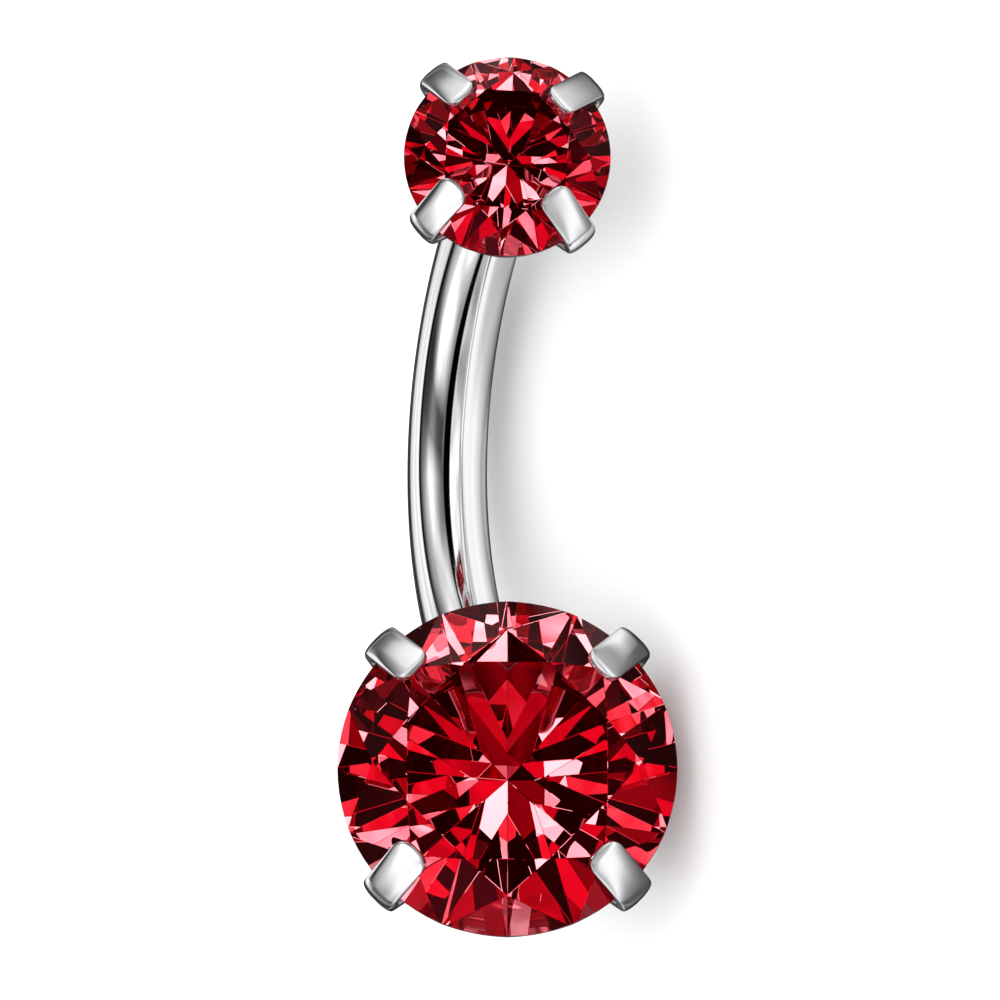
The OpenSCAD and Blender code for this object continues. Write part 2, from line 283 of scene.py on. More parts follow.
class NavelRingSmallHead(bpy.types.PropertyGroup):
    """Sizes of the small head, which screws onto the post"""

    stone: length("Stone", "Diameter of the small stone", 4)
    refraction: share("Refraction", "Refractive index of the small stone", 2.0)
    turn: angle("Turn", "Turn of the head about its own axis, clockwise from the front", 4)
    side: length("Side", "How far the head stands to the side of the boss", 0.19)
    drop: length("Drop", "How far the head stands below the middle of the boss", 0.42)
    merge: length("Merge", "How deep the boss runs into the back plate", 0.18)
    claw_width: length("Claw width", "Width of a claw", 0.66)
    claw_thickness: length("Claw thickness", "Thickness of a claw", 0.3)
    tip: length("Claw tip", "Distance from the stone's middle to the tip of a claw", 1.26)
    knee: length("Claw knee", "Distance behind the girdle at which the claws turn in", 0.25)
    collet: length("Collet", "Diameter of the collet", 1.9)
    hole: length("Hole", "Diameter of the hole in the collet", 0.9)
    collet_depth: length("Collet depth", "Depth of the collet in front of the back plate", 0.35)
    plate: length("Back plate", "Thickness of the back plate", 0.45)
    point_gap: length("Point gap", "Gap between the stone's point and the back plate", 0.1)
    gallery: length("Gallery", "Distance of the gallery ring behind the girdle", 0.95)
    wire: length("Wire", "Thickness of the gallery ring's wire", 0.4)


class NavelRingLie(bpy.types.PropertyGroup):
    """How the stones sit, how the piece lies, and where the camera stands"""

    stone_gap: length("Stone gap", "Gap between a stone and its claws", 0.02)
    roll: angle("Roll", "Angle by which the stones look up from the floor", 35.2)
    lean: angle("Lean", "Dip of the long way of the piece towards the small head", 5.5)
    look_up: angle("Look up", "Angle at which the camera looks up at the upright stones", 13)
    distance: length("Distance", "From the camera to the large stone", 115)
    view_side: length("View side", "Middle of the view to the left of the large stone", 0.1415)
    view_rise: length("View rise", "Middle of the view above the large stone", 5.132)
    view_height: length("View height", "Height of the view at the large stone", 19.12)


class NavelRingFinish(bpy.types.PropertyGroup):
    """Colours and strengths of the steel, the stones and the studio"""

    steel: tint("Steel", "Colour of the polished steel", (0.86, 0.86, 0.865))
    steel_edge: tint("Steel edge", "Tint of the steel where it turns out of sight", (0.1, 0.1, 0.1))
    stone: tint("Stone", "Colour that light takes on where it enters and leaves a stone", (1, 0.9, 0.92))
    stone_depth: tint("Stone depth", "Colour that light takes on inside a stone", (0.985, 0.0, 0.15))
    stone_gloss: tint("Stone gloss", "Tint of the reflections on a stone's facets", (0.35, 0.01, 0.03))
    girdle: tint("Girdle", "Colour of the stones' matt girdles", (0.09, 0.002, 0.005))
    # Painted glow: the stones give off a faint light of their own, though they are no lamp
    stone_painted_glow: tint("Stone painted glow", "Colour of the stones' faint inner light", (1, 0.02, 0.05))
    painted_glow: share("Painted glow", "Strength of the stones' faint inner light, per metre", 1.0)
    depth: share("Depth", "How fast light takes on the colour inside the large stone, per metre", 320)
    floor: tint("Floor", "Colour of the floor", (0.93, 0.93, 0.93))
    # Painted glow: the floor glows these reds for rays that leave a stone, in place of its lit pale tone
    floor_glow_dark: tint("Floor glow dark", "Darkest tint of the floor, seen in a stone", (0.02, 0, 0.001))
    floor_glow_red: tint("Floor glow red", "Reddest tint of the floor, seen in a stone", (0.4, 0, 0.01))
    dome: share("Dome", "Strength of the dome's strips, which light the steel", 1.4)
    haze: share("Haze", "How much the dome's strips vary in strength", 0.6)
    floor_light: share("Floor light", "Strength of the dome for the floor", 1.65)
    patches: share("Patches", "Fineness of the patchwork of light that the stones show", 4.5)
    patch_turn: turns("Patch turn", "Turn of the patchwork about X, Y and Z", (69, -156, 14))
    patch_cloud: share("Patch cloud", "How uneven the light is within a patch", 0.45)
    patch_light: share("Patch light", "Strength of the patchwork of light", 1)


def settings():
    """The scene's property groups by their short names."""
    scene = bpy.context.scene
    return {name: getattr(scene, f"navel_ring_{name}") for name in GROUPS}


# Places on the worn piece: X to the viewer's right, Y away from the viewer, Z up, and the
# origin at the bar's middle


def bar_plane(bar):
    """The two directions that span the bend: up, and level towards the heads."""
    return UP, np.array([math.sin(bar.turn), -math.cos(bar.turn), 0.0])


def bar_point(bar, a):
    """Middle of the bar at angles a along its bend: a circle through the origin."""
    up, heads = bar_plane(bar)
    a = np.asarray(a)[..., None]
    return bar.bend * (np.sin(a) * up + (1 - np.cos(a)) * heads)


def bar_heading(bar, a):
    """Way that the bar runs at angles a along its bend: the circle's tangent."""
    up, heads = bar_plane(bar)
    a = np.asarray(a)[..., None]
    return np.cos(a) * up + np.sin(a) * heads


def pavilion_height(cut, r):
    """Depth of a stone's point behind the girdle plane."""
    return r * cut.knife * math.tan(cut.pavilion)


def table_corner(cut, r):
    """Distance of the table's corners from the stone's axis."""
    return r * cut.table / math.cos(math.pi / FACETS)


def crown_height(cut, r):
    """Height of a stone's table before the girdle plane."""
    return (r * cut.knife - table_corner(cut, r)) * math.tan(cut.crown)


def star_height(cut, r):
    """Height at which the star facets end: on the kites' plane, between two of its corners."""
    slope = crown_height(cut, r) / (r * cut.knife - table_corner(cut, r))
    return slope * r * (cut.knife - cut.star * math.cos(math.pi / FACETS))


def boss_middle(bar):
    """Middle of the boss, above the bar's shoulder."""
    return bar_point(bar, bar.upper_arc) + bar.boss_rise * bar_heading(bar, bar.upper_arc)


def large_middle(s):
    """Middle of the large stone's girdle."""
    bar, head = s["bar"], s["large"]
    x, y, z = bar_point(bar, -bar.lower_arc)
    depth = pavilion_height(s["cut"], head.stone / 2)
    return np.array([x + head.side, y + head.back + head.dip - depth, z - head.drop])


def small_middle(s):
    """Middle of the small stone's girdle."""
    bar, head = s["bar"], s["small"]
    x, y, z = boss_middle(bar)
    plate_back = y - bar.boss_diameter / 2 + head.merge
    depth = pavilion_height(s["cut"], head.stone / 2) + head.point_gap
    return np.array([x + head.side, plate_back - head.plate - depth, z - head.drop])


def worn(points, at, turn):
    """Puts points of a head, drawn about Z with its front up, at its place on the worn piece."""
    x, y, z = np.moveaxis(points, -1, 0)
    c, s = math.cos(-turn), math.sin(-turn)
    return np.stack([at[0] + c * x - s * y, at[1] - z, at[2] + s * x + c * y], axis=-1)


def row_axes(lie):
    """The floor frame's X, Y and Z in the worn frame: leaned about Y, then rolled about X."""
    lean = Matrix.Rotation(math.pi / 2 + lie.lean, 3, "Y")
    roll = Matrix.Rotation(-lie.roll, 3, "X")
    return np.array(roll @ lean)


def rest_shift(s):
    """Move that brings the turned piece to the floor, found from the large stone's CAD box."""
    stone, _ = brilliant(s["large"].stone / 2, s["cut"])
    turned = worn(stone, large_middle(s), s["large"].turn) @ row_axes(s["lie"]).T
    low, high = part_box("large_stone")
    return (np.array(low) + np.array(high) - turned.min(0) - turned.max(0)) / 2


def lay_down(points, s):
    """Takes worn points to where they lie on the floor."""
    return points @ row_axes(s["lie"]).T + rest_shift(s)


def lay_head(points, size, s):
    """Takes points of a head or its stone, drawn about Z, to where they lie on the floor."""
    middle = {"large": large_middle, "small": small_middle}[size]
    return lay_down(worn(points, middle(s), s[size].turn), s)


# Surfaces


def grid_faces(rows, columns, closed_rows=False):
    """Four-sided faces over a grid of rows by columns points, whose columns close on themselves."""
    i = np.arange(rows if closed_rows else rows - 1)
    j = np.arange(columns)
    i, j = np.meshgrid(i, j, indexing="ij")
    down, right = (i + 1) % rows, (j + 1) % columns
    corners = [i * columns + j, i * columns + right, down * columns + right, down * columns + j]
    return [tuple(f) for f in np.stack(corners, axis=-1).reshape(-1, 4).tolist()]


def tube(rings, closed=False):
    """A skin over rings of points, from the first to the last, flat at both ends unless closed."""
    rows, columns = rings.shape[:2]
    faces = grid_faces(rows, columns, closed)
    if not closed:
        faces.append(tuple(range(columns - 1, -1, -1)))
        faces.append(tuple(range((rows - 1) * columns, rows * columns)))
    return rings.reshape(-1, 3), faces


def joined(*parts):
    """Several closed skins as one list of points and faces."""
    points, faces, start = [], [], 0
    for part_points, part_faces in parts:
        points.append(part_points)
        faces += [tuple(k + start for k in f) for f in part_faces]
        start += len(part_points)
    return np.concatenate(points), faces


def turned_about_z(profile, steps):
    """A profile of [distance, height] turned once round Z. Its rings run round the axis."""
    a = np.linspace(0, 2 * math.pi, steps, endpoint=False)
    r, z = profile[:, 0, None], profile[:, 1, None]
    return np.stack([r * np.cos(a), r * np.sin(a), z + 0 * a], axis=-1)


def rounded_line(corners, radii, steps):
    """A line through corners whose inner ones are rounded: an arc of its radius replaces each.

    The arc touches both stretches at its radius times the tangent of half the turn from the
    corner. Returns the points and the heading at each.
    """
    corners = [np.array(c, float) for c in corners]
    points, headings = [corners[0]], []
    for before, at, after, radius in zip(corners, corners[1:], corners[2:], radii):
        way_in = math.atan2(*(at - before)[::-1])
        way_out = math.atan2(*(after - at)[::-1])
        bend = (way_out - way_in + math.pi) % (2 * math.pi) - math.pi
        side = math.copysign(1, bend)
        start = at - radius * math.tan(abs(bend) / 2) * np.array([math.cos(way_in), math.sin(way_in)])
        centre = start + side * radius * np.array([-math.sin(way_in), math.cos(way_in)])
        h = way_in + bend * np.linspace(0, 1, steps)
        if not headings:
            headings.append(np.array([way_in]))
        points.append(centre + side * radius * np.stack([np.sin(h), -np.cos(h)], axis=-1))
        headings.append(h)
    points.append(corners[-1])
    headings.append(headings[-1][-1:])
    return np.vstack(points), np.concatenate(headings)


# Stones


def brilliant(r, cut):
    """Points and faces of a round brilliant about Z, its girdle plane at the origin.

    The crown and the pavilion are each the lowest, or highest, of the planes through their
    facets' corners. A round wall of radius r cuts them off, and its two rims are worked out at
    every azimuth at which a facet edge meets it and at even steps between.
    """
    step = math.pi / FACETS
    k = np.arange(FACETS)

    def ring(radius, azimuth, z):
        """Corners at a radius and a height, one at each azimuth."""
        return np.stack([radius * np.cos(azimuth), radius * np.sin(azimuth), z + 0 * azimuth], -1)

    table = ring(table_corner(cut, r), (2 * k + 1) * step, crown_height(cut, r))
    star = ring(cut.star * r, 2 * k * step, star_height(cut, r))
    deep = pavilion_height(cut, r)
    half = ring(cut.halves * r, 2 * k * step, -deep * (1 - cut.halves * math.cos(step) / cut.knife))
    knife = ring(cut.knife * r, np.arange(2 * FACETS) * step, 0.0)
    point = np.array([0.0, 0.0, -deep])

    def crossing(inner, outer):
        """Azimuth at which the line between two corners meets the round wall."""
        way = (outer - inner)[:2]
        a, b, c = way @ way, 2 * inner[:2] @ way, inner[:2] @ inner[:2] - r * r
        x, y = inner[:2] + way * (-b + math.sqrt(b * b - 4 * a * c)) / (2 * a)
        return math.atan2(y, x)

    def plane(p, q, s):
        """Slope of the plane through three corners, as [by x, by y, height at the axis]."""
        return np.linalg.solve(np.array([[v[0], v[1], 1.0] for v in (p, q, s)]), [p[2], q[2], s[2]])

    kite_from = crossing(star[0], knife[1])
    main_from = crossing(half[0], knife[1])
    breaks = (0, kite_from, main_from, step)
    pieces = [np.linspace(a, b, n) for a, b, n in zip(breaks, breaks[1:], RIM_STEPS)]
    eighth = np.unique(np.round(np.concatenate(pieces), RIM_DIGITS))
    pair = np.concatenate([eighth, 2 * step - eighth[-2:0:-1]])
    azimuths = (pair[None, :] + 2 * step * k[:, None]).ravel()
    count = len(azimuths)

    def rim(planes, lowest):
        """Points of the round wall at the lowest, or the highest, of the planes."""
        x, y = r * np.cos(azimuths), r * np.sin(azimuths)
        heights = np.stack([a * x + b * y + c for a, b, c in planes])
        return np.stack([x, y, heights.min(0) if lowest else heights.max(0)], axis=-1)

    crown, pavilion = [], []
    for i in k:
        here, before, after = knife[2 * i], knife[2 * i - 1], knife[2 * i + 1]
        for planes, corner, inner in ((crown, star[i], table[i]), (pavilion, half[i], point)):
            planes += [plane(corner, here, after), plane(corner, here, before)]
            planes.append(plane(inner, corner, after))
    upper, lower = rim(crown, True), rim(pavilion, False)
    points = np.concatenate([table, star, half, point[None], upper, lower])
    first_half, tip = 2 * FACETS, 3 * FACETS
    first_upper = tip + 1
    first_lower = first_upper + count

    def arc(first, i, start, end):
        """Numbers of the rim's points from one azimuth to another, past the i-th star corner."""
        places = np.append(pair, 2 * step)
        steps = np.flatnonzero((places >= start - RIM_SLACK) & (places <= end + RIM_SLACK))
        return (first + (i * len(pair) + steps) % count).tolist()

    faces = [tuple(range(FACETS))]
    kite_to, main_to = 2 * step - kite_from, 2 * step - main_from
    for i in range(FACETS):
        after = (i + 1) % FACETS
        star_here, star_after = FACETS + i, FACETS + after
        half_here, half_after = first_half + i, first_half + after
        faces += [
            (i, (i - 1) % FACETS, star_here),
            (star_here, *arc(first_upper, i, 0, kite_from)),
            (i, star_here, *arc(first_upper, i, kite_from, kite_to), star_after),
            (star_after, *arc(first_upper, i, kite_to, 2 * step)),
            (half_here, *arc(first_lower, i, 0, main_from)[::-1]),
            (tip, half_after, *arc(first_lower, i, main_from, main_to)[::-1], half_here),
            (half_after, *arc(first_lower, i, main_to, 2 * step)[::-1]),
        ]
    upper = first_upper + np.arange(count)
    lower = first_lower + np.arange(count)
    wall = np.stack([upper, lower, np.roll(lower, -1), np.roll(upper, -1)], axis=-1)
    faces += [tuple(f) for f in wall.tolist()]
    return points, faces


# Steel


def claw_corners(head, cut, gap, foot):
    """Foot, knee, shoulder and tip of a claw's middle line, as [distance, height].

    Over the crown it runs alongside the stone, a gap and half its thickness away.
    """
    r = head.stone / 2
    knife = np.array([r * cut.knife, 0.0])
    along = np.array([cut.star * r, star_height(cut, r)]) - knife
    along /= np.linalg.norm(along)
    off = gap + head.claw_thickness / 2
    over = knife + off * np.array([along[1], -along[0]])
    shoulder = over + along * (r + off - over[0]) / along[0]
    tip = over + along * (head.tip - over[0]) / along[0]
    return [np.array(foot), np.array([r + off, -head.knee]), shoulder, tip]


def claw(corners, width, thickness):
    """One claw in the half plane of +X: a soft-cornered section carried along its middle line.

    The section is a superellipse whose outer face is crowned: its height falls off with the
    square of the distance from the middle, across the claw and along it over the crown, and
    evenly towards the tip. Near the tip the width and the thickness each fall off as a
    superellipse too, over a length of their own, so the tip is round in plan with a soft edge.
    """
    way = corners[3] - corners[2]
    reach = np.linalg.norm(way)
    way /= reach
    width_cap, edge_cap = CLAW_PLAN_CAP * width, CLAW_EDGE_CAP * thickness
    straight_end = corners[3] - way * width_cap
    line, heading = rounded_line(
        [*corners[:3], straight_end], [thickness, CLAW_SHOULDER * thickness], CLAW_BEND_STEPS
    )
    middle = np.linspace(line[-2], straight_end, CLAW_FACE_STEPS)[1:-1]
    run = np.sin(np.linspace(0, 0.5 * math.pi, CLAW_TIP_STEPS)[1:])
    tip_line = straight_end + way * (width_cap * run)[:, None]
    line = np.vstack([line[:-1], middle, line[-1:], tip_line])
    heading = np.concatenate([heading[:-1], np.full(len(middle) + 1 + len(run), heading[-1])])
    plain = np.ones(len(line) - len(run))
    wide = np.concatenate([plain, (1 - run ** CLAW_PLAN_POWER) ** (1 / CLAW_PLAN_POWER)])
    to_end = (corners[3] - line) @ way
    edge = np.clip(1 - to_end / edge_cap, 0, 1)
    thick = np.sqrt(1 - edge ** 2)
    from_middle = np.clip(1 - to_end / (0.5 * reach), -1, 1)
    crown = 1 - CLAW_CROWN_ALONG * np.where(line[:, 1] > corners[1][1], from_middle, 1) ** 2
    crown = crown * (1 - CLAW_TAPER * np.clip(1 - to_end / reach, 0, 1))
    wide, thick = np.maximum(wide, CLAW_LEAST), np.maximum(thick, CLAW_LEAST)
    a = np.linspace(0, 2 * math.pi, CLAW_SIDES, endpoint=False) + math.pi / CLAW_SIDES
    side = np.sign(np.sin(a)) * np.abs(np.sin(a)) ** (2 / CLAW_SECTION_POWER)
    out = np.sign(np.cos(a)) * np.abs(np.cos(a)) ** (2 / CLAW_SECTION_POWER)
    face = np.where(out > 0, out * (1 - CLAW_CROWN_ACROSS * side ** 2), out)
    lift = np.where(out > 0, face * crown[:, None], face) * thickness / 2
    x = line[:, 0, None] + np.sin(heading)[:, None] * thick[:, None] * lift
    z = line[:, 1, None] - np.cos(heading)[:, None] * thick[:, None] * lift
    return np.stack([x, wide[:, None] * side * width / 2, z], axis=-1)


def turned(rings, azimuth):
    """Rings of points turned about Z."""
    return rings @ np.array(Matrix.Rotation(azimuth, 3, "Z")).T


def claw_ring(corners, width, thickness):
    """The four claws of a head, midway between its sides."""
    rings = claw(corners, width, thickness)
    return [tube(turned(rings, (k + 0.5) * 2 * math.pi / CLAWS)) for k in range(CLAWS)]


def gallery_ring(corners, depth, wire):
    """The gallery ring: a round wire through the middle lines of the claws' legs."""
    foot, knee = corners[:2]
    r = foot[0] + (knee[0] - foot[0]) * (-depth - foot[1]) / (knee[1] - foot[1])
    a = np.linspace(0, 2 * math.pi, WIRE_SIDES, endpoint=False)
    profile = np.stack([r + wire / 2 * np.cos(a), -depth + wire / 2 * np.sin(a)], axis=-1)
    return tube(turned_about_z(profile, ROUND_STEPS), closed=True)


def with_claws(collet, corners, head):
    """A head's collet with its claws and gallery ring."""
    gallery = gallery_ring(corners, head.gallery, head.wire)
    return joined(*claw_ring(corners, head.claw_width, head.claw_thickness), gallery, collet)


def large_head(s):
    """Claws, gallery ring and open collet of the large head, about Z."""
    head, cut = s["large"], s["cut"]
    front = head.dip - pavilion_height(cut, head.stone / 2)
    foot = [head.collet / 2 - FOOT_SINK, front - head.collet_depth / 2]
    corners = claw_corners(head, cut, s["lie"].stone_gap, foot)
    back = front - head.collet_depth
    middle = (front + back) / 2
    inner, outer = head.hole / 2, head.collet / 2
    start = (inner, middle)
    around = [start, (inner, back), (outer, back), (outer, front), (inner, front), start]
    line, _ = rounded_line(around, [s["bar"].edge] * 4, EDGE_STEPS)
    collet = tube(turned_about_z(line[:-1], ROUND_STEPS), closed=True)
    return with_claws(collet, corners, head)


def small_head(s):
    """Claws, gallery ring and collet with its back plate of the small head, about Z."""
    head, cut = s["small"], s["cut"]
    plate_front = -pavilion_height(cut, head.stone / 2) - head.point_gap
    foot = [head.collet / 2 - FOOT_SINK, plate_front]
    corners = claw_corners(head, cut, s["lie"].stone_gap, foot)
    back, front = plate_front - head.plate, plate_front + head.collet_depth
    inner, outer = head.hole / 2, head.collet / 2
    around = [(AXIS_RADIUS, back), (outer, back), (outer, front), (inner, front)]
    around += [(inner, plate_front), (AXIS_RADIUS, plate_front)]
    line, _ = rounded_line(around, [s["bar"].edge] * 4, EDGE_STEPS)
    collet = tube(turned_about_z(line, ROUND_STEPS))
    return with_claws(collet, corners, head)


def boss(s):
    """The round boss about the bar's way at its shoulder: a ball with a flat mouth and a socket."""
    bar = s["bar"]
    r = bar.boss_diameter / 2
    socket = bar.post_diameter / 2 + bar.play
    bottom = bar.post_length + bar.spare
    mouth = math.sqrt(r * r - (bar.boss_rise - bar.gap) ** 2)
    inside = [(AXIS_RADIUS, bottom), (socket, bottom), (socket, bar.gap), (mouth - bar.edge, bar.gap)]
    line, _ = rounded_line(inside, [bar.edge / 2] * 2, EDGE_STEPS)
    start = math.asin((bar.gap - bar.boss_rise) / r)
    lift = np.linspace(start, 0.5 * math.pi, BALL_STEPS)[1:]
    lip = np.array([[mouth - LIP_IN * bar.edge, bar.gap + LIP_UP * bar.edge]])
    ball = np.stack([r * np.cos(lift) + AXIS_RADIUS, bar.boss_rise + r * np.sin(lift)], axis=-1)
    rings = turned_about_z(np.vstack([line, lip, ball]), ROUND_STEPS)
    return along_heading(rings, s), tube(rings)[1]


def along_heading(rings, s):
    """Takes rings drawn about Z to the bar's shoulder, with Z along the bar's way there."""
    bar = s["bar"]
    heading = bar_heading(bar, bar.upper_arc)
    side = np.cross(*bar_plane(bar))
    third = np.cross(heading, side)
    x, y, z = np.moveaxis(rings.reshape(-1, 3), -1, 0)
    turned_points = x[:, None] * side + y[:, None] * third + z[:, None] * heading
    return bar_point(bar, bar.upper_arc) + turned_points


def bent_bar(s):
    """The bar and its post: circles carried along the bend, and then straight on along the post.

    The circle's radius is the bar's, falls off over a rounded edge at both ends of the bend, is
    the post's past the shoulder, and falls off over a chamfer at the post's end.
    """
    bar = s["bar"]
    r, post_r, edge = bar.diameter / 2, bar.post_diameter / 2, bar.edge
    sweep = bar.lower_arc + bar.upper_arc
    run = bar.bend * sweep
    corners = [(0, AXIS_RADIUS), (0, r), (run, r), (run, post_r)]
    corners += [(run + bar.post_length, post_r), (run + bar.post_length, AXIS_RADIUS)]
    line, _ = rounded_line(corners, [edge, edge, ROOT_EDGE * edge, POST_EDGE * edge], EDGE_STEPS)
    fine = np.stack([np.linspace(edge, run - edge, BAR_STEPS), np.full(BAR_STEPS, r)], axis=-1)
    start = 1 + EDGE_STEPS
    line = np.vstack([line[:start], fine[1:-1], line[start:]])
    along, radius = line[:, 0], line[:, 1]
    a = np.minimum(along / bar.bend, sweep) - bar.lower_arc
    past = np.maximum(along - run, 0)[:, None]
    heading = bar_heading(bar, a)
    middle = bar_point(bar, a) + past * heading
    side = np.cross(*bar_plane(bar))
    third = np.cross(heading, side)
    turn = np.linspace(0, 2 * math.pi, BAR_SIDES, endpoint=False)[None, :, None]
    spoke = np.cos(turn) * side + np.sin(turn) * third[:, None, :]
    return tube(middle[:, None, :] + radius[:, None, None] * spoke)


# Materials


def fill(tree, node, values):
    """Puts values into a node's sockets: a number, a colour or what comes from another node."""
    for name, value in values.items():
        if isinstance(value, bpy.types.NodeSocket):
            tree.links.new(value, node.inputs[name])
        elif isinstance(value, (int, float)):
            node.inputs[name].default_value = value
        else:
            node.inputs[name].default_value = (*value, 1)


def add_node(tree, kind, values):
    """A new shader node of a kind, with values in its sockets."""
    node = tree.nodes.new(kind)
    fill(tree, node, values)
    return node


def noise(tree, place, scale, detail, roughness=0.5):
    """A cloud over a place."""
    values = {"Vector": place, "Scale": scale, "Detail": detail, "Roughness": roughness}
    return add_node(tree, "ShaderNodeTexNoise", values).outputs["Fac"]


def stretched(tree, value, span, low=0, high=1):
    """A value whose span from one number to another is stretched to run from low to high."""
    values = {"From Min": span[0], "From Max": span[1], "To Min": low, "To Max": high}
    return add_node(tree, "ShaderNodeMapRange", {"Value": value, **values}).outputs["Result"]


def bumps(tree, wave, height, strength=1):
    """A surface's way out, made uneven by a wave of a height."""
    values = {"Height": wave, "Distance": height, "Strength": strength}
    return add_node(tree, "ShaderNodeBump", values).outputs["Normal"]


def mixed(tree, factor, first, second, blend="MIX"):
    """Two colours mixed by a factor. Each of the three is given or comes from a node."""
    node = add_node(tree, "ShaderNodeMix", {})
    node.data_type = "RGBA"
    node.blend_type = blend
    fill(tree, node, dict(zip(MIX_SOCKETS, (factor, first, second))))
    return node.outputs[MIX_RESULT]


def stops(tree, colours, value):
    """A colour that passes evenly through [place, colour] stops, picked by a value from 0 to 1."""
    node = add_node(tree, "ShaderNodeValToRGB", {"Fac": value})
    ramp = node.color_ramp
    while len(ramp.elements) < len(colours):
        ramp.elements.new(0.5)
    for element, (at, colour) in zip(ramp.elements, colours):
        element.position = at
        element.color = (*colour, 1)
    return node.outputs["Color"]


def grey_stops(tree, table, value):
    """Stops for a table of [place, grey], with its first place at the value 0 and its last at 1."""
    first, last = table[0][0], table[-1][0]
    return stops(tree, [((at - first) / (last - first), [grey] * 3) for at, grey in table], value)


def shown(tree, ray, light, other):
    """One shader for a kind of ray and another for the rest."""
    rays = add_node(tree, "ShaderNodeLightPath", {})
    values = {"Fac": rays.outputs[ray], 1: other, 2: light}
    return add_node(tree, "ShaderNodeMixShader", values).outputs[0]


def new_material(name):
    """A new material, its node tree, its main shader and the place on the piece."""
    material = bpy.data.materials.new(name)
    material.use_nodes = True
    tree = material.node_tree
    place = add_node(tree, "ShaderNodeTexCoord", {}).outputs["Object"]
    return material, tree, tree.nodes["Principled BSDF"], place


def steel(name, gloss):
    """Steel with a faint waviness, and a roughness that is uneven between two values."""
    finish = settings()["finish"]
    material, tree, shader, place = new_material(name)
    cloud = noise(tree, place, CLOUD_SCALE, CLOUD_DETAIL)
    wave = noise(tree, place, WAVE_SCALE, WAVE_DETAIL)
    fill(tree, shader, {
        "Base Color": finish.steel,
        "Metallic": 1,
        "Specular Tint": finish.steel_edge,
        "Roughness": stretched(tree, cloud, CLOUD_RANGE, *gloss),
        "Normal": bumps(tree, wave, WAVE_HEIGHT, WAVE_STRENGTH),
    })
    return material


def mirror_steel():
    """The bar's steel, polished to a mirror."""
    return bpy.data.materials.get("Mirror steel") or steel("Mirror steel", MIRROR_GLOSS)


def tumbled_steel():
    """The heads' steel, tumbled to a softer shine."""
    return bpy.data.materials.get("Tumbled steel") or steel("Tumbled steel", TUMBLED_GLOSS)


def red_stone(s, size):
    """Clear red stone: polished, refracting, and deeper red the longer the way through it.

    Both stones are as deep a red right through. A faint painted glow in them lights the ways that go
    round and round between the facets.
    """
    finish, head = s["finish"], s[size]
    material, tree, shader, place = new_material(f"Red stone {size}")
    fill(tree, shader, {
        "Base Color": finish.stone,
        "Roughness": 0,
        "IOR": head.refraction,
        "Specular Tint": finish.stone_gloss,
        "Transmission Weight": 1,
        "Normal": bumps(tree, noise(tree, place, FACET_WAVE_SCALE, 0), FACET_WAVE_HEIGHT),
    })
    density = finish.depth * s["large"].stone / head.stone
    values = {"Color": finish.stone_depth, "Density": density}
    body = add_node(tree, "ShaderNodeVolumeAbsorption", values)
    # Painted glow: a faint emission in the stone's volume
    values = {"Color": finish.stone_painted_glow, "Strength": finish.painted_glow}
    painted_glow = add_node(tree, "ShaderNodeEmission", values)
    both = add_node(tree, "ShaderNodeAddShader", {0: body.outputs[0], 1: painted_glow.outputs[0]})
    fill(tree, tree.nodes["Material Output"], {"Volume": both.outputs[0]})
    return material


def ground_girdle(finish):
    """The girdle's wall, ground round and left matt."""
    material = bpy.data.materials.get("Ground girdle")
    if material is None:
        material, tree, shader, place = new_material("Ground girdle")
        grain = noise(tree, place, GRAIN_SCALE, GRAIN_DETAIL)
        shade = mixed(tree, grain, finish.girdle, [GIRDLE_DARK * v for v in finish.girdle])
        fill(tree, shader, {"Base Color": shade, "Roughness": GIRDLE_ROUGHNESS})
    return material


def pale_floor(finish):
    """Smooth pale card, a little uneven in tone, that glows painted light of its own for steel and
    stones.

    Steel mirrors a painted reflection of it: glowing soft stripes along X, picked by the distance
    before or behind the origin. A pale window lightens them over a stretch of X and of Y, and a
    painted shade darkens them over another stretch of X. A stone sees the floor glow as a painted
    cloud of deep red.
    """
    material, tree, shader, place = new_material("Pale card")
    split = add_node(tree, "ShaderNodeSeparateXYZ", {"Vector": place})

    def cloud(scale, first, second):
        """Two colours mixed by a cloud."""
        level = stretched(tree, noise(tree, place, scale, FLOOR_DETAIL), SOFT_RANGE)
        return mixed(tree, level, first, second)

    def stripes(table, axis):
        """Greys that pass evenly through a table of [millimetres along an axis, grey]."""
        span = (table[0][0] * MILLIMETRE, table[-1][0] * MILLIMETRE)
        return grey_stops(tree, table, stretched(tree, split.outputs[axis], span))

    def light(colour):
        """A glow of a colour, which the floor shows as painted light."""
        return add_node(tree, "ShaderNodeEmission", {"Color": colour}).outputs[0]

    tone = cloud(FLOOR_TONE_SCALE, finish.floor, [FLOOR_TONE * v for v in finish.floor])
    fill(tree, shader, {"Base Color": tone, "Roughness": FLOOR_ROUGHNESS, "Specular IOR Level": 0})
    # Painted reflection: rays that steel mirrors see the floor glow in stripes, a window and a shade,
    # not its lit shading
    window = mixed(tree, 1, stripes(PAINTED_REFLECTION_WINDOW_X, "X"), stripes(PAINTED_REFLECTION_WINDOW_Y, "Y"), "MULTIPLY")
    lightened = mixed(tree, window, stripes(PAINTED_REFLECTION_STRIPES, "Y"), PAINTED_REFLECTION_WINDOW, "LIGHTEN")
    painted_reflection = light(mixed(tree, 1, lightened, stripes(PAINTED_REFLECTION_SHADE, "X"), "MULTIPLY"))
    # Painted glow: rays that leave a stone see the floor glow a cloud of deep red
    red = light(cloud(FLOOR_RED_GLOW_SCALE, finish.floor_glow_dark, finish.floor_glow_red))
    seen = shown(tree, "Is Glossy Ray", painted_reflection, shader.outputs[0])
    seen = shown(tree, "Is Transmission Ray", red, seen)
    fill(tree, tree.nodes["Material Output"], {"Surface": seen})
    return material


# Making the pieces


